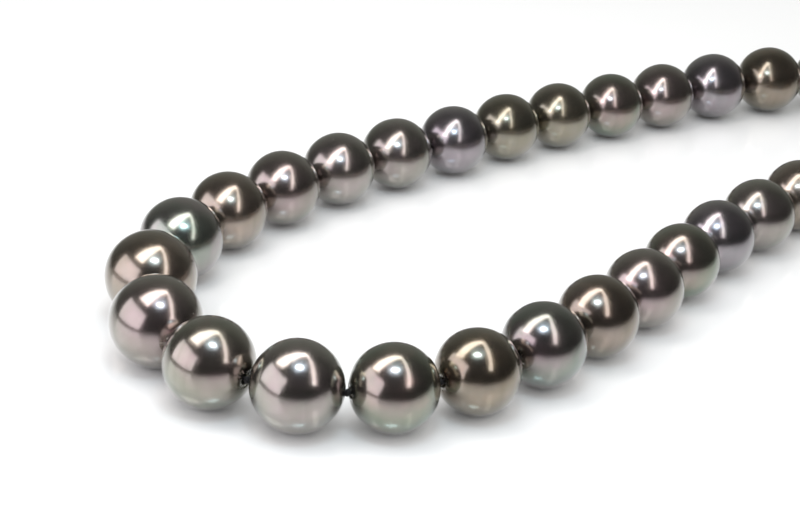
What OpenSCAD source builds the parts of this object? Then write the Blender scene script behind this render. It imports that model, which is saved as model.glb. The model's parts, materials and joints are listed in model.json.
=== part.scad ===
// A single strand of dark cultured pearls, strung and knotted on silk, laid in an open egg shape
// on a table with its ball clasp undone. The table is z = 0. X runs along the loop from the
// centre pearl to the clasp, Y across it, and the origin is the middle of the strand's box.

/* [Pearls] */
// Diameter of the pearl at the centre of the strand, mm
centre_pearl = 13.5; // [11:0.1:16.5]
// How much smaller the end pearls are than the centre one, as a share of it
taper = 0.14; // [0.08:0.01:0.2]
// Diameter of the hole drilled through each pearl, mm
drill = 1.0; // [0.8:0.05:1.3]
// Diameter of the countersunk mouth of the hole, mm
drill_mouth = 1.7; // [1.5:0.05:2.2]
// Depth of the countersunk mouth, mm
mouth_depth = 0.45; // [0.3:0.05:0.6]

/* [Silk] */
// Clear distance along the silk from one pearl to the next, mm
knot_gap = 0.6; // [0.5:0.05:0.9]
// Thickness of the silk thread, mm
silk = 0.6; // [0.4:0.05:0.7]
// Thickness of the knots between the pearls, mm
knot = 1.2; // [0.9:0.05:1.4]

/* [End loops] */
// Radius of the small loop that holds each half of the clasp, mm
loop_radius = 1.1; // [1.05:0.05:1.4]
// Outside thickness of the wire coil that covers the silk in the loop, mm
coil = 1.0; // [0.9:0.05:1.1]
// Wall of that coil, mm
coil_wall = 0.12; // [0.08:0.01:0.14]
// Wire of the two clasp rings, mm
ring_wire = 0.7; // [0.5:0.05:0.8]

/* [Clasp] */
// Diameter of the ball, mm
ball = 11; // [9:0.5:12]
// Wall of the hollow ball, mm
ball_wall = 0.6; // [0.4:0.05:0.9]
// Length of the tongue beyond its ring, mm
tongue_length = 11; // [9.5:0.5:13]
// Width of the tongue, mm
tongue_width = 3.4; // [2.8:0.1:4]
// Thickness of the tongue's base plate, mm
plate = 0.6; // [0.5:0.05:0.8]
// Thickness of the spring leaf above it, mm
leaf = 0.4; // [0.3:0.05:0.5]
// Width of the leaf's neck, which the thumb tab stands on, mm
neck_width = 1.2; // [0.9:0.1:1.5]
// Angle that the leaf springs up by when it is let go, degrees
leaf_spring = 12; // [9:1:14]
// Free space around the tongue where it goes into the ball, mm
slot_clearance = 0.25; // [0.15:0.05:0.4]

/* [Hidden] */
$fn = 48;
per_side = 16;
count = 2 * per_side + 1;
eps = 0.01;

// Direction that the silk runs through the centre pearl, and the turn at each knot from there
// outwards, in whole degrees. "near" is the arm at -Y and "far" is the arm at +Y.
root_heading = -106;
near_turns = [29, 29, 26, 16, 12, 2, 4, 4, -7, -4, 0, -6, -7, -4, 3, 12];
far_turns = [29, 17, 14, 7, 4, 8, -3, 0, 6, 1, -1, 3, 12, -4, 4, 12];

// Pearls are matched by eye and not exactly graded: how far each one is off the even taper, mm.
near_uneven = [0, -0.3, -0.2, -0.5, -0.6, -0.3, -0.3, -0.3, -0.4, -0.4, -0.1, 0.1, 0, -0.1,
    0.1, -0.1, 0];
far_uneven = [0, 0.4, -0.1, -0.4, -0.5, -0.4, -0.3, -0.3, -0.3, -0.2, -0.1, 0.2, 0.7, 1.1,
    0.4, 0.1, 0];

// side is 1 for the near arm and -1 for the far arm; k counts pearls from the centre one.
function turns(side) = side > 0 ? near_turns : far_turns;
function uneven(side) = side > 0 ? near_uneven : far_uneven;
function total(list, n) = n <= 0 ? 0 : list[n - 1] + total(list, n - 1);
function pearl_size(side, k) = centre_pearl * (1 - taper * k / per_side) + uneven(side)[k];
function heading(side, k) = root_heading + side * total(turns(side), k);
function along(side, k) = side * [cos(heading(side, k)), sin(heading(side, k))];
function half_pitch(side, k) = (pearl_size(side, k) + knot_gap) / 2;
function walked(side, k) = k == 0 ? [0, 0]
    : walked(side, k - 1) + along(side, k - 1) * half_pitch(side, k - 1)
        + along(side, k) * half_pitch(side, k);

// The two arms as drawn from the centre pearl, then the whole strand moved to the origin.
near_raw = [for (k = [0 : per_side]) walked(1, k)];
far_raw = [for (k = [0 : per_side]) walked(-1, k)];

loop_reach = 0.8;
ring_radius = loop_radius;
ring_out = loop_reach + 2 * loop_radius;
ring_edge = ring_radius + ring_wire / 2;
solder = 0.12;
ball_out = ring_edge + ball / 2 - solder;
ball_turn = 14;
tongue_turn = 10;

function end_raw(side) = (side > 0 ? near_raw : far_raw)[per_side]
    + along(side, per_side) * half_pitch(side, per_side);
ball_heading = heading(-1, per_side) + 180 - ball_turn;
tongue_heading = heading(1, per_side) + tongue_turn;
ball_ring_raw = end_raw(-1) + along(-1, per_side) * ring_out;
ball_raw = ball_ring_raw + ball_out * [cos(ball_heading), sin(ball_heading)];

boxes = concat(
    [for (k = [0 : per_side]) [near_raw[k], pearl_size(1, k) / 2]],
    [for (k = [0 : per_side]) [far_raw[k], pearl_size(-1, k) / 2]],
    [[ball_raw, ball / 2]]
);
low = [min([for (b = boxes) b[0].x - b[1]]), min([for (b = boxes) b[0].y - b[1]])];
high = [max([for (b = boxes) b[0].x + b[1]]), max([for (b = boxes) b[0].y + b[1]])];
middle = (low + high) / 2;

near_at = [for (p = near_raw) p - middle];
far_at = [for (p = far_raw) p - middle];

// Pearls are numbered from the ball end of the far arm, round to the tongue end of the near arm.
function side_of(i) = i > per_side + 1 ? 1 : -1;
function step_of(i) = abs(i - per_side - 1);
function place_of(i) = side_of(i) > 0 ? near_at[step_of(i)] : far_at[step_of(i)];
function size_of(i) = pearl_size(side_of(i), step_of(i));
function two_digits(i) = i < 10 ? str("0", i) : str(i);
function pearl_name(i) = i == per_side + 1 ? "pearl_17_centre" : str("pearl_", two_digits(i));

// Knot k of an arm lies outside pearl k; its height is the mean of the two holes it sits between.
function knot_place(side, k) = (side > 0 ? near_at : far_at)[k]
    + along(side, k) * half_pitch(side, k);
function knot_height(side, k) = k == per_side ? pearl_size(side, k) / 2
    : (pearl_size(side, k) + pearl_size(side, k + 1)) / 4;
function knot_point(side, k) = [
    knot_place(side, k).x, knot_place(side, k).y, knot_height(side, k)
];

// Heights of the two end loops: the ball lies on the table, the tongue hangs from its loop.
ball_height = ball / 2;
tongue_height = pearl_size(1, per_side) / 2;
tongue_dip = asin((tongue_height - plate / 2) / (tongue_length + ring_radius));

// Half the outline of a pearl of size d, from the wall of its hole outwards, hole along Y.
module pearl_outline(d) {
    difference() {
        circle(d = d);
        translate([-d, -d])
            square([d + drill / 2, 2 * d]);
        for (end = [-1, 1])
            polygon([
                [0, end * (d / 2 - mouth_depth)],
                [drill / 2, end * (d / 2 - mouth_depth)],
                [drill_mouth / 2, end * d / 2],
                [0, end * d / 2]
            ]);
    }
}

// One pearl, drilled through and countersunk at both mouths, the hole along the silk.
module pearl(i) {
    d = size_of(i);
    tone = 0.30 + 0.07 * sin(97 * i);
    color([tone, tone + 0.02 * sin(61 * i), tone])
    translate([place_of(i).x, place_of(i).y, d / 2])
    rotate([0, 0, heading(side_of(i), step_of(i))])
    rotate([0, 90, 0])
    rotate_extrude()
        pearl_outline(d);
}

// A straight piece of thread from one point to another.
module strand(a, b, d) {
    v = b - a;
    flat = norm([v.x, v.y]);
    translate(a)
    rotate([0, atan2(flat, v.z), atan2(v.y, v.x)])
        cylinder(d = d, h = norm(v));
}

// Puts its children at the end of an arm: X runs on out along the silk, Z up, height h.
module arm_end(side, h) {
    p = knot_place(side, per_side);
    translate([p.x, p.y, h])
    rotate([0, 0, heading(side, per_side) + (side > 0 ? 0 : 180)])
        children();
}

// Part of a round ring standing in the X-Z plane, open for "gap" degrees at its -X side.
module upright_ring(r, d, gap) {
    rotate([90, 0, 0])
    rotate([0, 0, gap > 0 ? gap / 2 - 180 : 0])
    rotate_extrude(angle = 360 - gap)
    translate([r, 0])
    rotate(180)
        circle(d = d);
}

// The stretch of thread along the hole of one pearl, from the middle of one knot to the next.
module thread_in_pearl(i) {
    translate([place_of(i).x, place_of(i).y, size_of(i) / 2])
    rotate([0, 0, heading(side_of(i), step_of(i))])
    rotate([0, 90, 0])
        cylinder(d = silk, h = 2 * half_pitch(side_of(i), step_of(i)), center = true);
}

// The silk: one length from knot to knot through every pearl, and a loop at each end.
module silk_thread() {
    color([0.12, 0.11, 0.11])
    union() {
        for (side = [-1, 1], k = [0 : per_side])
            translate(knot_point(side, k))
            rotate([0, 0, heading(side, k) + 90])
                sphere(d = knot);
        for (i = [1 : count])
            thread_in_pearl(i);
        for (side = [-1, 1]) {
            h = side > 0 ? tongue_height : ball_height;
            arm_end(side, h)
            translate([loop_reach + loop_radius, 0, 0])
                upright_ring(loop_radius, silk, 0);
            arm_end(side, h)
                strand([0, 0, knot_height(side, per_side) - h], [loop_reach, 0, 0], silk);
        }
    }
}

// The fine wire coil round the silk of an end loop.
module loop_coil(side, h) {
    color([0.78, 0.78, 0.80])
    arm_end(side, h)
    translate([loop_reach + loop_radius, 0, 0])
    difference() {
        upright_ring(loop_radius, coil, 70);
        upright_ring(loop_radius, coil - 2 * coil_wall, 60);
    }
}

// A flat-lying ring of round wire.
module wire_ring() {
    rotate_extrude()
    translate([ring_radius, 0])
        circle(d = ring_wire);
}

// Puts its children in the ball's frame: origin at the ring, X out through the ball.
module ball_frame() {
    arm_end(-1, ball_height)
    translate([ring_out, 0, 0])
    rotate([0, 0, -ball_turn])
        children();
}

module ball_ring() {
    color([0.80, 0.80, 0.82])
    ball_frame()
    difference() {
        wire_ring();
        translate([ball_out, 0, 0])
            sphere(d = ball);
    }
}

// Half of the hollow ball; facing is 1 for the half with the opening.
module half_ball(facing) {
    difference() {
        sphere(d = ball);
        sphere(d = ball - 2 * ball_wall);
        translate([-facing * ball, 0, 0])
            cube(2 * ball, center = true);
    }
}

module ball_back_shell() {
    color([0.82, 0.82, 0.84])
    ball_frame()
    translate([ball_out, 0, 0])
        half_ball(-1);
}

// The front half has a keyhole: wide at the bottom for the tongue, narrow above for its neck.
module ball_front_shell() {
    wide = tongue_width + 2 * slot_clearance;
    narrow = neck_width + 2 * slot_clearance;
    flat_top = plate / 2 + 0.1 + leaf + slot_clearance;
    neck_top = flat_top + 7 * sin(leaf_spring) + slot_clearance;
    bottom = -plate / 2 - slot_clearance;
    color([0.84, 0.84, 0.86])
    ball_frame()
    translate([ball_out, 0, 0])
    difference() {
        half_ball(1);
        translate([0.25 * ball, -wide / 2, bottom])
            cube([ball, wide, flat_top - bottom]);
        translate([0.25 * ball, -narrow / 2, flat_top - eps])
            cube([ball, narrow, neck_top - flat_top]);
    }
}

// Puts its children in the tongue's frame: origin at the middle of its ring, X out to the tip,
// dipping down. The wire of the ring hangs in the middle of the silk loop.
module tongue_frame() {
    arm_end(1, tongue_height)
    translate([ring_out - ring_radius, 0, 0])
    rotate([0, 0, tongue_turn])
    rotate([0, tongue_dip, 0])
    translate([ring_radius, 0, 0])
        children();
}

module tongue_ring() {
    color([0.80, 0.80, 0.82])
    tongue_frame()
        wire_ring();
}

fold_radius = 0.4;
fold_at = tongue_length - 0.7;
fold_up = plate / 2 + 0.1 + leaf / 2;
fold_clearance = 0.05;

// The flat base of the tongue, round at the tip, with a seat for the fold of the leaf.
module tongue_plate() {
    r = tongue_width / 3;
    l = tongue_length;
    color([0.83, 0.83, 0.85])
    tongue_frame()
    difference() {
        translate([0, 0, -plate / 2])
        linear_extrude(height = plate) {
            translate([ring_radius, -tongue_width / 2])
                square([l - r - ring_radius, tongue_width]);
            translate([l - r - 1, -tongue_width / 2 + r])
                square([r + 1, tongue_width - 2 * r]);
            for (s = [-1, 1])
                translate([l - r, s * (tongue_width / 2 - r)])
                    circle(r = r);
        }
        wire_ring();
        translate([fold_at, 0, fold_up])
        rotate([90, 0, 0])
            cylinder(r = fold_radius + fold_clearance, h = 2 * tongue_width, center = true);
    }
}

// Puts its children in the leaf's frame: origin on the fold, X towards the tip, sprung up.
module leaf_frame() {
    tongue_frame()
    translate([fold_at, 0, fold_up])
    rotate([0, leaf_spring, 0])
        children();
}

shoulder = 0.53 * tongue_length;
tab_at = tongue_length - 3.2;
tab_thickness = 0.5;
tab_rise = 2.0;

// The springy upper strip: full width to the shoulders that catch inside the ball, then a neck.
module tongue_leaf() {
    color([0.84, 0.84, 0.86])
    leaf_frame()
    union() {
        w = tongue_width - 0.4;
        rotate([90, 0, 0])
            cylinder(r = fold_radius, h = w, center = true);
        translate([-shoulder, -w / 2, -leaf / 2])
            cube([shoulder, w, leaf]);
        translate([-tab_at, -neck_width / 2, -leaf / 2])
            cube([tab_at, neck_width, leaf]);
    }
}

// The tab that a thumb presses, soldered across the end of the neck.
module thumb_tab() {
    color([0.80, 0.80, 0.82])
    leaf_frame()
    translate([-tab_at - tab_thickness, 0, -leaf / 2])
    rotate([90, 0, 90])
    linear_extrude(height = tab_thickness) {
        translate([-tongue_width / 2, 0])
            square([tongue_width, tab_rise - 0.6]);
        translate([-tongue_width / 2 + 0.6, 0])
            square([tongue_width - 1.2, tab_rise]);
        for (s = [-1, 1])
            translate([s * (tongue_width / 2 - 0.6), tab_rise - 0.6])
                circle(r = 0.6);
    }
}

for (i = [1 : count])
    pearl(i);
silk_thread();
loop_coil(-1, ball_height);  // coil_ball_side
loop_coil(1, tongue_height);  // coil_tongue_side
ball_ring();
ball_back_shell();
ball_front_shell();
tongue_ring();
tongue_plate();
tongue_leaf();
thumb_tab();
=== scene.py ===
"""A knotted strand of dark pearls with a ball clasp, laid undone on a white table."""

import json
import math

import bpy
from mathutils import Euler, Matrix, Vector


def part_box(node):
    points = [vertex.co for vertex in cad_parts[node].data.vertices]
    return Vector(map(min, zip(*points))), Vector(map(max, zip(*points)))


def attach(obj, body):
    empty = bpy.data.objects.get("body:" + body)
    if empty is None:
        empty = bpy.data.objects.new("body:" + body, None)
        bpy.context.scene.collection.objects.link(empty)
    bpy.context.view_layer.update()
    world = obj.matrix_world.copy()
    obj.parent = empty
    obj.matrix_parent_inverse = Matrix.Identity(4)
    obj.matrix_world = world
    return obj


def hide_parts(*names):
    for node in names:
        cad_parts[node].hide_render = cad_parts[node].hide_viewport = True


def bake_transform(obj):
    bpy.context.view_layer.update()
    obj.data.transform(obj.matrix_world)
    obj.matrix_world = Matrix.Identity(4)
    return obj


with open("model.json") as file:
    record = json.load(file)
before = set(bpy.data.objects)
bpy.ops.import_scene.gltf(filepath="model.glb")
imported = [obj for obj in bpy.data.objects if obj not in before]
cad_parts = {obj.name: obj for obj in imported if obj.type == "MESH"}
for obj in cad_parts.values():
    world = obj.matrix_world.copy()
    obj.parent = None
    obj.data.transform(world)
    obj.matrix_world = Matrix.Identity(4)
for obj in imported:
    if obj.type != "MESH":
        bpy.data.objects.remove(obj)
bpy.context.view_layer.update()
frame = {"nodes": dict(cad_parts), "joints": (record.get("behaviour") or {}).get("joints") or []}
scene = bpy.context.scene
MM = 0.001

# ---------------------------------------------------------------- camera and studio

CAMERA_AT = Vector((-0.224528, -0.176873, 0.126540))
CAMERA_HEADING = 47.049
CAMERA_DOWN = 26.424
CAMERA_ROLL = 4.285


def make_camera():
    data = bpy.data.cameras.new("camera")
    data.lens = 78.07
    data.sensor_width = 36
    data.clip_start = 0.01
    camera = bpy.data.objects.new("camera", data)
    scene.collection.objects.link(camera)
    level = Euler((math.radians(90 - CAMERA_DOWN), 0, math.radians(CAMERA_HEADING - 90)))
    roll = Matrix.Rotation(math.radians(CAMERA_ROLL), 4, "Z")
    camera.matrix_world = Matrix.Translation(CAMERA_AT) @ level.to_matrix().to_4x4() @ roll
    scene.camera = camera


make_camera()
scene.view_settings.view_transform = "Standard"
scene.view_settings.look = "None"


class Socket:
    """A shader socket that can be used in a sum; each step of the sum adds a Math node."""

    def __init__(self, finish, link):
        self.finish, self.link = finish, link

    def maths(self, operation, *others):
        values = dict(enumerate((self, *others)))
        return self.finish.add("Math", {"operation": operation}, values)

    def __add__(self, other):
        return self.maths("ADD", other)

    def __sub__(self, other):
        return self.maths("SUBTRACT", other)

    def __mul__(self, other):
        return self.maths("MULTIPLY", other)

    def __rsub__(self, other):
        return self.finish.add("Math", {"operation": "SUBTRACT"}, {0: other, 1: self})

    __radd__ = __add__
    __rmul__ = __mul__

    def between(self, low, high):
        """0 where the value is below low and 1 above high, with a soft change in between."""
        settings = {"interpolation_type": "SMOOTHSTEP"}
        sockets = {"Value": self, "From Min": low, "From Max": high}
        return self.finish.add("MapRange", settings, sockets)

    def sine(self):
        return self.maths("SINE", 0.0)


class Finish:
    """A material, made of nodes around one Principled shader."""

    def __init__(self, name, **fixed):
        self.material = bpy.data.materials.new(name)
        self.material.use_nodes = True
        self.tree = self.material.node_tree
        self.tree.nodes.clear()
        shader = self.layer(**fixed)
        self.shader = shader.link.node
        self.output = self.add("OutputMaterial", {}, {}, out=None)
        self.plug(self.output.inputs["Surface"], shader)

    def layer(self, **fixed):
        """One Principled shader with these settings."""
        return self.add("BsdfPrincipled", {}, {k.replace("_", " "): v for k, v in fixed.items()})

    def lay_over(self, share, **sockets):
        """Puts another Principled shader over the first, as a share of what is seen."""
        top = self.layer(**sockets)
        both = self.add("MixShader", {}, {0: share, 1: Socket(self, self.shader.outputs[0]), 2: top})
        self.plug(self.output.inputs["Surface"], both)

    def add(self, kind, settings, sockets, out=0):
        node = self.tree.nodes.new("ShaderNode" + kind)
        for name, value in settings.items():
            if name == "stops":
                set_stops(node.color_ramp, value)
            else:
                setattr(node, name, value)
        for name, value in sockets.items():
            self.plug(node.inputs[name], value)
        return node if out is None else Socket(self, node.outputs[out])

    def plug(self, socket, value):
        if isinstance(value, Socket):
            self.tree.links.new(value.link, socket)
        else:
            socket.default_value = value

    def feed(self, **sockets):
        for name, value in sockets.items():
            self.plug(self.shader.inputs[name.replace("_", " ")], value)

    def place(self, centre=(0, 0, 0), turn=0.0, size=1.0):
        """Object coordinates, moved to a piece's centre, turned level by turn, size metres to 1."""
        shift = Matrix.Rotation(turn, 3, "Z") @ (Vector(centre) / size)
        sockets = {
            "Vector": self.add("TexCoord", {}, {}, out="Object"),
            "Location": -shift,
            "Rotation": (0, 0, turn),
            "Scale": (1 / size, 1 / size, 1 / size),
        }
        return self.add("Mapping", {"vector_type": "POINT"}, sockets)

    def parts(self, vector):
        node = self.add("SeparateXYZ", {}, {0: vector}).link.node
        return [Socket(self, node.outputs[i]) for i in range(3)]

    def clouds(self, vector, scale, detail=2.0, seed=0.0, roughness=0.5):
        settings = {"noise_dimensions": "4D"}
        sockets = {
            "Vector": vector, "W": seed, "Scale": scale, "Detail": detail, "Roughness": roughness,
        }
        return self.add("TexNoise", settings, sockets)

    def cells(self, vector, scale, seed=0.0, jitter=1.0):
        settings = {"voronoi_dimensions": "4D"}
        sockets = {"Vector": vector, "W": seed, "Scale": scale, "Randomness": jitter}
        return self.add("TexVoronoi", settings, sockets)

    def mix(self, factor, first, second, how="MIX"):
        settings = {"data_type": "RGBA", "blend_type": how, "clamp_factor": True}
        return self.add("Mix", settings, {0: factor, 6: first, 7: second}, out=2)

    def bump(self, height, strength, distance):
        sockets = {"Height": height, "Strength": strength, "Distance": distance}
        return self.add("Bump", {}, sockets)


def set_stops(ramp, stops):
    while len(ramp.elements) > 1:
        ramp.elements.remove(ramp.elements[-1])
    for i, (position, colour) in enumerate(stops):
        stop = ramp.elements[0] if i == 0 else ramp.elements.new(position)
        stop.position, stop.color = position, colour


def colour(red, green, blue):
    """A linear colour from one seen on a screen, each part from 0 to 255."""
    return tuple(((c / 255 + 0.055) / 1.055) ** 2.4 for c in (red, green, blue)) + (1.0,)


def add_area_light(name, at, toward, size, watts, tint, shape="RECTANGLE", along=None):
    """A soft light at a place, facing another; along gives its long side's direction."""
    data = bpy.data.lights.new(name, "AREA")
    data.shape = shape
    data.size, data.size_y = size
    data.energy = watts
    data.color = tint
    lamp = bpy.data.objects.new(name, data)
    scene.collection.objects.link(lamp)
    back = (Vector(at) - Vector(toward)).normalized()
    if along is None:
        turn = back.to_track_quat("Z", "Y").to_matrix()
    else:
        side = Vector(along).normalized()
        back = (back - back.dot(side) * side).normalized()
        turn = Matrix((side, back.cross(side), back)).transposed()
    lamp.matrix_world = Matrix.Translation(Vector(at)) @ turn.to_4x4()
    return lamp


def add_strip_light(name, start, end, toward, width, watts, tint):
    """A long narrow light between two places."""
    start, end = Vector(start), Vector(end)
    size = ((end - start).length, width)
    return add_area_light(name, (start + end) / 2, toward, size, watts, tint, along=end - start)


TABLE_MIDDLE = Vector((-0.080, -0.025, 0.006))


def make_studio():
    """A small cool lamp in its shade, two strips that meet over the strand, and a side panel."""
    add_area_light("lamp", (-0.1174, -0.0638, 0.171), TABLE_MIDDLE, (0.056, 0.036), 0.075,
                   (0.66, 0.87, 1.0), shape="ELLIPSE", along=(0.731, -0.682, 0))
    add_area_light("lamp_shade", (-0.112, -0.055, 0.180), TABLE_MIDDLE, (0.120, 0.100), 0.030,
                   (0.66, 0.87, 1.0), shape="DISK")
    apex = (0.006, 0.016, 0.235)
    add_strip_light("right_strip", apex, (-0.089, -0.1347, 0.0632), TABLE_MIDDLE, 0.021, 0.064,
                    (1.0, 0.97, 0.93))
    add_strip_light("left_strip", apex, (-0.142, 0.010, 0.074), TABLE_MIDDLE, 0.040, 0.15,
                    (1.0, 0.96, 0.93))
    add_area_light("left_panel", (-0.375, 0.090, 0.135), TABLE_MIDDLE, (0.42, 0.24), 0.70,
                   (0.99, 0.95, 1.0), along=(0.3, 1, 0))
    make_room()


WALL_SHADE = (2.3, 2.3, 2.3, 1)
# Direction of the far side of the table, and the shades of the dark cloths, from beside and
# behind the camera to that side.
FAR_SIDE = (0.66, 0.71, 0.12)
CLOTHS = [(0.0, (0.005, 0.005, 0.004, 1)), (0.45, (0.042, 0.043, 0.038, 1)),
          (0.9, (0.20, 0.205, 0.185, 1))]


def make_room():
    """Pale walls all round for the table, and dark cloths that are all the polished pearls see."""
    world = bpy.data.worlds.new("room")
    world.use_nodes = True
    tree = world.node_tree
    walls = tree.nodes["Background"]
    walls.inputs["Color"].default_value = WALL_SHADE
    cloths = tree.nodes.new("ShaderNodeBackground")
    far_side = tree.nodes.new("ShaderNodeVectorMath")
    far_side.operation = "DOT_PRODUCT"
    far_side.inputs[1].default_value = FAR_SIDE
    tree.links.new(tree.nodes.new("ShaderNodeTexCoord").outputs["Generated"], far_side.inputs[0])
    shade = tree.nodes.new("ShaderNodeValToRGB")
    set_stops(shade.color_ramp, CLOTHS)
    tree.links.new(far_side.outputs["Value"], shade.inputs[0])
    tree.links.new(shade.outputs[0], cloths.inputs["Color"])
    choose = tree.nodes.new("ShaderNodeMixShader")
    path = tree.nodes.new("ShaderNodeLightPath")
    tree.links.new(path.outputs["Is Glossy Ray"], choose.inputs[0])
    tree.links.new(walls.outputs[0], choose.inputs[1])
    tree.links.new(cloths.outputs[0], choose.inputs[2])
    tree.links.new(choose.outputs[0], tree.nodes["World Output"].inputs["Surface"])
    scene.world = world


TABLE_SIZE = 3
TABLE_TONE = (0.48, 0.48, 0.48, 1)


def make_table():
    """A glossy white table top at z = 0."""
    bpy.ops.object.select_all(action="DESELECT")
    bpy.ops.mesh.primitive_grid_add(x_subdivisions=8, y_subdivisions=8, size=TABLE_SIZE)
    table = bpy.context.object
    table.name = "white_table"
    finish = Finish("white_table", Base_Color=TABLE_TONE, IOR=1.8)
    grain = finish.clouds(finish.place(), 60, detail=3)
    finish.feed(Roughness=grain * 0.04 + 0.05)
    table.data.materials.append(finish.material)


make_studio()
make_table()

# ---------------------------------------------------------------- modelling helpers


def clear_selection():
    if bpy.context.mode != "OBJECT":
        bpy.ops.object.mode_set(mode="OBJECT")
    bpy.ops.object.select_all(action="DESELECT")


def hold(piece):
    """Makes a piece the only selected and active one."""
    clear_selection()
    piece.select_set(True)
    bpy.context.view_layer.objects.active = piece


def select_points(piece, wanted):
    """In edit mode, selects the points for which wanted(place) is true."""
    bpy.ops.mesh.select_mode(type="VERT")
    bpy.ops.mesh.select_all(action="DESELECT")
    bpy.ops.object.mode_set(mode="OBJECT")
    for point in piece.data.vertices:
        point.select = bool(wanted(point.co))
    bpy.ops.object.mode_set(mode="EDIT")


def select_edges(piece, wanted):
    """In edit mode, selects the edges for which wanted is true of both their ends."""
    bpy.ops.mesh.select_mode(type="EDGE")
    bpy.ops.mesh.select_all(action="DESELECT")
    bpy.ops.object.mode_set(mode="OBJECT")
    points = piece.data.vertices
    for edge in piece.data.edges:
        edge.select = all(wanted(points[i].co) for i in edge.vertices)
    bpy.ops.object.mode_set(mode="EDIT")


def finish_modifiers(piece):
    hold(piece)
    for modifier in list(piece.modifiers):
        bpy.ops.object.modifier_apply(modifier=modifier.name)


def copy_piece(master, name, place):
    """A copy with its own mesh, its place worked into the mesh."""
    piece = master.copy()
    piece.data = master.data.copy()
    piece.name = piece.data.name = name
    piece.data.transform(place)
    scene.collection.objects.link(piece)
    return piece


def frame_on(at, direction, up=(0, 0, 1)):
    """A frame at a place with X along a direction and Z as near to up as it can be."""
    x = Vector(direction).normalized()
    y = Vector(up).cross(x).normalized()
    turn = Matrix((x, y, x.cross(y))).transposed().to_4x4()
    return Matrix.Translation(at) @ turn


# ---------------------------------------------------------------- the strand's layout

PEARL_COUNT = 33
CENTRE_PEARL = 17
KNOT_GAP = 0.6 * MM


def pearl_node(i):
    return "pearl_17_centre" if i == CENTRE_PEARL else f"pearl_{i:02d}"


def bead_body(i):
    return "centre" if i == CENTRE_PEARL else f"bead_{i:02d}"


pearl_boxes = {i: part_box(pearl_node(i)) for i in range(1, PEARL_COUNT + 1)}
pearl_at = {i: (low + high) / 2 for i, (low, high) in pearl_boxes.items()}
pearl_radius = {i: (high.z - low.z) / 2 for i, (low, high) in pearl_boxes.items()}
joints = {joint["name"]: joint for joint in frame["joints"]}
knot_at = {}
for i in range(1, PEARL_COUNT):
    knot_at[i] = Vector(joints[f"knot_{i:02d}_{i + 1:02d}"]["pos_m"])
pearl_heading = {}
for i in range(2, PEARL_COUNT):
    pearl_heading[i] = knot_at[i] - knot_at[i - 1]
pearl_heading[1] = knot_at[1] - pearl_at[1]
pearl_heading[PEARL_COUNT] = pearl_at[PEARL_COUNT] - knot_at[PEARL_COUNT - 1]
for heading in pearl_heading.values():
    heading.z = 0
    heading.normalize()
for i, side in ((1, -1), (PEARL_COUNT, 1)):
    reach = pearl_radius[i] + KNOT_GAP / 2
    knot_at[0 if i == 1 else i] = pearl_at[i] + side * reach * pearl_heading[i]


# ---------------------------------------------------------------- pearls

MOUTH_DEPTH = 0.45 * MM
HOLE_RADIUS = 0.5 * MM
LIP_BEVEL = 0.07 * MM
PEARL_SEGMENTS, PEARL_RINGS = 96, 48


def model_pearl(radius):
    """One round pearl at the origin, drilled along X, its hole countersunk at both mouths."""
    clear_selection()
    bpy.ops.mesh.primitive_uv_sphere_add(
        segments=PEARL_SEGMENTS, ring_count=PEARL_RINGS, radius=radius,
        rotation=(0, math.radians(90), 0))
    pearl = bpy.context.object
    bpy.ops.object.transform_apply(location=False, rotation=True, scale=False)
    mouth = radius * math.sin(2 * math.pi / PEARL_RINGS)
    bpy.ops.object.mode_set(mode="EDIT")
    select_points(pearl, lambda p: math.hypot(p.y, p.z) < 0.7 * mouth)
    bpy.ops.mesh.delete(type="VERT")
    lip = radius * math.cos(2 * math.pi / PEARL_RINGS)
    for end in (-1, 1):
        select_edges(pearl, lambda p: p.x * end > lip - 0.2 * MOUTH_DEPTH)
        bpy.ops.mesh.extrude_edges_move(
            TRANSFORM_OT_translate={"value": (-end * (lip - radius + MOUTH_DEPTH), 0, 0)})
        narrow = HOLE_RADIUS / mouth
        bpy.ops.transform.resize(value=(1, narrow, narrow), center_override=(0, 0, 0))
    inner = radius - MOUTH_DEPTH
    select_edges(pearl, lambda p: abs(p.x) < inner + 1e-6 and math.hypot(p.y, p.z) < 1.1 * HOLE_RADIUS)
    bpy.ops.mesh.bridge_edge_loops()
    select_edges(pearl, lambda p: abs(math.hypot(p.y, p.z) - mouth) < 0.02 * MM)
    bpy.ops.mesh.bevel(offset=LIP_BEVEL, segments=2, affect="EDGES")
    bpy.ops.mesh.select_all(action="SELECT")
    bpy.ops.mesh.normals_make_consistent(inside=False)
    bpy.ops.object.mode_set(mode="OBJECT")
    bpy.ops.object.shade_smooth()
    return pearl


# The pearl with the sharpest lustre; the ones far from it are a little more satiny.
BEST_LUSTRE = 20
COAT = {"Coat_Weight": 1.0, "Coat_Roughness": 0.06, "Coat_IOR": 1.5}
# Dark conchiolin under the interference film, and the film on it.
FILM_BASE = {"Base_Color": (0.006, 0.0055, 0.005, 1), "IOR": 2.6}
FILM_IOR = 1.8
BUMP_DEPTH = 0.11 * MM
PIT_COLOUR = (0.04, 0.035, 0.03, 1)
BAND_SHADE = (0.66, 0.66, 0.64, 1)


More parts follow.
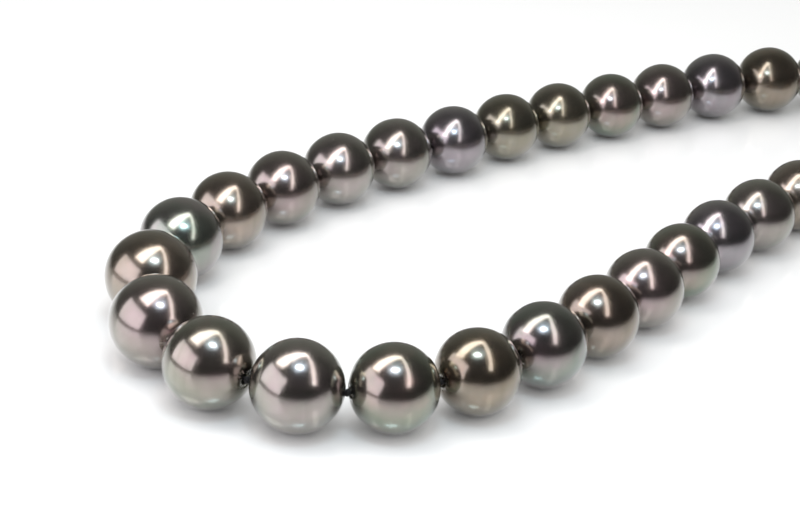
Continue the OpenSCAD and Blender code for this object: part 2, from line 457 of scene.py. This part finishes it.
def nacre(name, i, body, overtone, edge, film, wear):
    """Dark nacre: cloudy body colour, overtones from its thin layers, a darker edge colour towards the
    bottom as painted shade with an overtone tint, growth rings and pits.

    film is the thickness of a layer in nanometres and how much of the lustre comes from it;
    wear is how much of the pearl is pitted."""
    finish = Finish(name, Metallic=1.0, **COAT)
    heading = pearl_heading[i]
    turn = -math.atan2(heading.y, heading.x)
    at = finish.place(pearl_at[i], turn, pearl_radius[i])
    x, y, z = finish.parts(at)
    cloud = finish.clouds(at, 1.5, detail=2, seed=i * 1.7)
    veil = finish.clouds(at, 3.2, detail=3, seed=i * 2.3 + 40)
    base = finish.mix(cloud.between(0.38, 0.66), body, overtone)
    # Painted shade: the lower side of each pearl is mixed towards the darker edge colour, which also
    # carries an overtone tint.
    underside_shade_mask = (0.1 - z * 0.6 + (veil - 0.5) * 0.8).between(0.2, 0.8)
    base = finish.mix(underside_shade_mask * 0.85, base, edge)
    rings = ((x + (cloud - 0.5) * 0.12) * 46).sine()
    stretched = finish.add("CombineXYZ", {}, {0: x * 5, 1: y * 0.4, 2: z * 0.4})
    band = finish.clouds(stretched, 1.0, detail=3, seed=i * 0.9)
    darker = finish.mix(1.0, base, BAND_SHADE, "MULTIPLY")
    base = finish.mix(band.between(0.45, 0.75) * 0.35, base, darker)
    spots = finish.cells(at, 5.0, seed=i * 3.1)
    here = finish.clouds(at, 2.0, seed=i * 5.3).between(0.76 - wear, 0.84 - wear)
    pits = (1 - spots.between(0.03, 0.11)) * here
    base = finish.mix(pits * 0.5, base, PIT_COLOUR)
    grain = finish.clouds(at, 38, detail=2, seed=i)
    satin = 0.165 + 0.03 * min(1, abs(i - BEST_LUSTRE) / 10)
    height = veil * 0.34 + rings * 0.008 + grain * 0.006 - pits * 0.5
    roughness = veil * 0.08 + grain * 0.02 + pits * 0.3 + satin
    normal = finish.bump(height, 1.0, BUMP_DEPTH)
    finish.feed(Base_Color=base, Roughness=roughness, Normal=normal)
    thickness, share = film
    finish.lay_over(
        ((veil - 0.5) * 0.4 + share) * (1 - pits),
        Roughness=roughness, Normal=normal,
        Thin_Film_Thickness=thickness, Thin_Film_IOR=FILM_IOR, **FILM_BASE, **COAT)
    return finish.material


# Body, overtone and underside colour of each kind of pearl, and its film's thickness and share; the
# underside colour is darker, a painted shade with an overtone tint.
KINDS = {
    "silver_green": (colour(146, 149, 141), colour(159, 152, 150), colour(139, 129, 131), (600, 0.13)),
    "brown_peach": (colour(140, 132, 121), colour(154, 142, 133), colour(126, 120, 110), (200, 0.07)),
    "rose": (colour(147, 138, 132), colour(158, 147, 143), colour(133, 125, 121), (514, 0.13)),
    "olive": (colour(144, 140, 129), colour(159, 147, 141), colour(131, 133, 122), (505, 0.15)),
    "grey_rose": (colour(147, 143, 135), colour(157, 149, 145), colour(134, 128, 124), (516, 0.10)),
    "grey_green": (colour(140, 137, 127), colour(156, 143, 135), colour(121, 127, 119), (500, 0.22)),
    "bronze": (colour(128, 121, 108), colour(142, 131, 119), colour(113, 114, 101), (200, 0.09)),
    "peacock": (colour(136, 133, 130), colour(153, 140, 142), colour(138, 126, 130), (492, 0.20)),
    "bronze_green": (colour(129, 120, 110), colour(143, 132, 124), colour(114, 119, 107), (204, 0.10)),
    "lavender": (colour(141, 137, 140), colour(152, 145, 149), colour(129, 124, 128), (530, 0.05)),
    "gold_olive": (colour(136, 133, 120), colour(145, 139, 127), colour(122, 122, 110), (190, 0.10)),
}
# Kind of each pearl from the ball's end to the tongue's end, and how pitted some of them are.
STRAND_KINDS = [
    "grey_rose", "bronze", "olive", "bronze", "lavender", "rose", "grey_green",
    "gold_olive", "gold_olive", "lavender", "grey_rose", "grey_rose", "rose", "brown_peach",
    "silver_green", "brown_peach", "rose", "olive", "grey_rose", "grey_green", "bronze",
    "peacock", "bronze_green", "rose", "grey_green", "lavender", "grey_rose", "brown_peach",
    "bronze", "grey_rose", "silver_green", "olive", "grey_green",
]
PITTED = {17: 0.34, 9: 0.2, 12: 0.24, 21: 0.14, 28: 0.24}
WOBBLE_LENGTH = 6 * MM
WOBBLE_DEPTH = 0.10 * MM


def make_pearls():
    """All the pearls, each a copy of one master, scaled, a little off round, with its own nacre."""
    master = model_pearl(pearl_radius[CENTRE_PEARL])
    wobble = bpy.data.textures.new("slow_wobble", "CLOUDS")
    wobble.noise_scale = WOBBLE_LENGTH
    wobble.noise_depth = 1
    for i in range(1, PEARL_COUNT + 1):
        size = pearl_radius[i] / pearl_radius[CENTRE_PEARL]
        place = frame_on(pearl_at[i], pearl_heading[i]) @ Matrix.Scale(size, 4)
        pearl = copy_piece(master, f"nacre_{i:02d}", place)
        displace = pearl.modifiers.new("off_round", "DISPLACE")
        displace.texture = wobble
        displace.texture_coords = "GLOBAL"
        displace.strength = WOBBLE_DEPTH
        displace.mid_level = 0.5
        finish_modifiers(pearl)
        kind = KINDS[STRAND_KINDS[i - 1]]
        pearl.data.materials.append(nacre(f"nacre_{i:02d}", i, *kind, PITTED.get(i, 0.0)))
        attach(pearl, bead_body(i))
        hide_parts(pearl_node(i))
    bpy.data.objects.remove(master)


make_pearls()

# ---------------------------------------------------------------- silk and knots

SILK_RADIUS = 0.3 * MM


def make_tube(name, points, radius, closed=False, sides=3):
    """A round cord through points, as a mesh."""
    data = bpy.data.curves.new(name, "CURVE")
    data.dimensions = "3D"
    data.bevel_depth = radius
    data.bevel_resolution = sides
    data.use_fill_caps = not closed
    spline = data.splines.new("POLY")
    spline.points.add(len(points) - 1)
    for point, place in zip(spline.points, points):
        point.co = (*place, 1)
    spline.use_cyclic_u = closed
    curve = bpy.data.objects.new(name, data)
    scene.collection.objects.link(curve)
    hold(curve)
    bpy.ops.object.convert(target="MESH")
    piece = bpy.context.object
    bpy.ops.object.shade_smooth()
    return piece


def join(pieces, name):
    hold(pieces[0])
    for piece in pieces:
        piece.select_set(True)
    bpy.ops.object.join()
    pieces[0].name = pieces[0].data.name = name
    return pieces[0]


KNOT_STEPS, LOOP_STEPS = 42, 36


def model_knot():
    """A tight overhand knot round the X axis, 1.2 mm across."""
    turns = []
    for step in range(KNOT_STEPS):
        t = 2 * math.pi * step / KNOT_STEPS
        out = (2 + math.cos(3 * t)) * 0.115 * MM
        turns.append((math.sin(3 * t) * 0.17 * MM, out * math.cos(2 * t), out * math.sin(2 * t)))
    return make_tube("knot", turns, 0.25 * MM, closed=True, sides=2)


SILK_DARK, SILK_LIGHT = (0.003, 0.003, 0.0032, 1), (0.012, 0.011, 0.011, 1)


def black_silk():
    """Twisted black silk: fine slanting plies, with fuzz."""
    finish = Finish("black_silk", Sheen_Weight=0.06, Sheen_Roughness=0.4, Specular_IOR_Level=0.2)
    at = finish.place(size=MM)
    x, y, z = finish.parts(at)
    twist = ((x + y * 0.7 + z * 1.3) * 34).sine() * 0.5 + 0.5
    fuzz = finish.clouds(at, 9, detail=3)
    finish.feed(
        Base_Color=finish.mix(fuzz * 0.6 + twist * 0.4, SILK_DARK, SILK_LIGHT),
        Roughness=0.75 - twist * 0.25,
        Normal=finish.bump(twist * 0.7 + fuzz * 0.5, 0.7, 0.05 * MM),
    )
    return finish.material


BEND_REACH = 0.9 * MM


def make_silk():
    """Thread and a knot between every two pearls, and both end loops."""
    silk = black_silk()
    knot = model_knot()
    for i in range(1, PEARL_COUNT):
        start, end = pearl_at[i], pearl_at[i + 1]
        middle = knot_at[i]
        first, last = (middle - start), (end - middle)
        path = [start + first * s for s in (0, 0.5, 0.8, 0.93)] + [middle]
        path += [middle + last * s for s in (0.07, 0.2, 0.5, 1)]
        thread = make_tube(f"thread_{i:02d}", path, SILK_RADIUS, sides=2)
        across = (pearl_heading[i] + pearl_heading[i + 1]).normalized()
        lump = copy_piece(knot, f"lump_{i:02d}",
                          frame_on(middle, across) @ Matrix.Rotation(i * 1.9, 4, "X"))
        piece = join([thread, lump], f"silk_{i:02d}_{i + 1:02d}")
        piece.data.materials.clear()
        piece.data.materials.append(silk)
        joint = joints[f"knot_{i:02d}_{i + 1:02d}"]
        reach = across * BEND_REACH
        blend_ends = {bead_body(i): middle - reach, bead_body(i + 1): middle + reach}
        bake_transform(piece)
        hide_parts("silk_thread")
    for i, side, name in ((1, -1, "ball"), (PEARL_COUNT, 1, "tongue")):
        make_end_loop(i, side, name, knot, silk)
    bpy.data.objects.remove(knot)


LOOP_REACH, LOOP_RADIUS = 0.8 * MM, 1.1 * MM
COIL_RADIUS = 0.5 * MM
COIL_WIRE = 0.06 * MM
COIL_OPENING = math.radians(35)
COIL_STEPS = 10
loop_height = {"tongue": pearl_at[PEARL_COUNT].z}
ball_low, ball_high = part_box("ball_back_shell")
loop_height["ball"] = (ball_low.z + ball_high.z) / 2


def make_end_loop(i, side, name, knot, silk):
    """The last knot of an arm, and the silk loop wound with fine wire that holds the clasp."""
    out = side * pearl_heading[i]
    end_knot = knot_at[0 if i == 1 else i]
    root = Vector((end_knot.x, end_knot.y, loop_height[name]))
    middle = root + out * (LOOP_REACH + LOOP_RADIUS)

    def on_loop(angle):
        return middle + LOOP_RADIUS * (out * -math.cos(angle) + Vector((0, 0, math.sin(angle))))

    inside = make_tube(f"thread_{name}", [pearl_at[i], end_knot, root + out * LOOP_REACH],
                       SILK_RADIUS, sides=2)
    ring = [on_loop(2 * math.pi * s / LOOP_STEPS) for s in range(LOOP_STEPS)]
    loop = make_tube(f"loop_{name}", ring, SILK_RADIUS, closed=True, sides=2)
    lump = copy_piece(knot, f"lump_{name}", frame_on(end_knot, out))
    piece = join([inside, loop, lump], f"silk_end_{name}")
    piece.data.materials.clear()
    piece.data.materials.append(silk)
    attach(piece, bead_body(i))
    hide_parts("silk_thread")
    make_coil(i, name, on_loop, middle, out)


def make_coil(i, name, on_loop, middle, out):
    """A spring of fine wire, wound close round the silk of an end loop."""
    arc = 2 * math.pi - 2 * COIL_OPENING
    turns = int(arc * LOOP_RADIUS / (2.15 * COIL_WIRE))
    reach = COIL_RADIUS - COIL_WIRE
    points = []
    for step in range(turns * COIL_STEPS + 1):
        share = step / (turns * COIL_STEPS)
        angle = COIL_OPENING + share * arc
        spot = on_loop(angle)
        outward = (spot - middle).normalized()
        sideways = out.cross(Vector((0, 0, 1)))
        wind = 2 * math.pi * step / COIL_STEPS
        points.append(spot + reach * (math.cos(wind) * outward + math.sin(wind) * sideways))
    coil = make_tube(f"wire_coil_{name}", points, COIL_WIRE, sides=1)
    coil.data.materials.clear()
    coil.data.materials.append(coil_finish)
    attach(coil, bead_body(i))
    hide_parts(f"coil_{name}_side")


def white_metal(name, tone, roughness, scratch):
    """Rhodium-plated white gold: fine polishing lines, faint smudges and small dents."""
    finish = Finish(name, Metallic=1.0, IOR=1.5)
    at = finish.place(size=MM)
    x, y, z = finish.parts(at)
    stretched = finish.add("CombineXYZ", {}, {0: x * 0.6, 1: y * 9, 2: z * 9})
    lines = finish.clouds(stretched, 2.2, detail=4)
    smudge = finish.clouds(at, 0.45, detail=3, seed=4)
    worn = finish.clouds(at, 5, detail=3, seed=9).between(0.6, 0.75)
    dull = tuple(c * 0.8 for c in tone[:3]) + (1,)
    finish.feed(
        Base_Color=finish.mix(smudge * 0.7 + lines * 0.2, tone, dull),
        Roughness=smudge * 0.16 + lines * scratch + worn * 0.08 + roughness,
        Normal=finish.bump(lines * scratch + worn * 0.15, 0.5, 0.01 * MM),
    )
    return finish.material


coil_finish = white_metal("coil_wire", (0.72, 0.71, 0.69, 1), 0.16, 0.1)
make_silk()

# ---------------------------------------------------------------- clasp

white_gold = white_metal("white_gold", (0.74, 0.73, 0.70, 1), 0.07, 0.12)
spring_gold = white_metal("spring_gold", (0.70, 0.69, 0.66, 1), 0.12, 0.35)


def coat_cad_node(name, material):
    """Gives a node that stays as it is its finish."""
    node = frame["nodes"][name]
    node.data.materials.clear()
    node.data.materials.append(material)
    hold(node)
    bpy.ops.object.shade_smooth_by_angle(angle=math.radians(30))


def soften_edges(name, body, material, width=0.07 * MM):
    """A copy of a sheet-metal node with its flats joined up and its edges polished round."""
    piece = copy_piece(frame["nodes"][name], f"polished_{name}", Matrix.Identity(4))
    piece.parent = None
    for key in list(piece.keys()):
        del piece[key]
    hold(piece)
    bpy.ops.object.mode_set(mode="EDIT")
    bpy.ops.mesh.select_all(action="SELECT")
    bpy.ops.mesh.remove_doubles(threshold=0.001 * MM)
    bpy.ops.mesh.dissolve_limited(angle_limit=math.radians(4))
    bpy.ops.mesh.normals_make_consistent(inside=False)
    bpy.ops.object.mode_set(mode="OBJECT")
    bevel = piece.modifiers.new("polished_edges", "BEVEL")
    bevel.width = width
    bevel.segments = 3
    bevel.limit_method = "ANGLE"
    bevel.angle_limit = math.radians(40)
    finish_modifiers(piece)
    bpy.ops.object.shade_smooth_by_angle(angle=math.radians(35))
    piece.data.materials.clear()
    piece.data.materials.append(material)
    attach(piece, body)
    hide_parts(name)


for name in ("ball_ring", "ball_back_shell", "ball_front_shell", "tongue_ring"):
    coat_cad_node(name, white_gold)
soften_edges("tongue_plate", "tongue", white_gold)
soften_edges("tongue_leaf", "leaf", spring_gold, 0.05 * MM)
soften_edges("thumb_tab", "leaf", white_gold, 0.08 * MM)
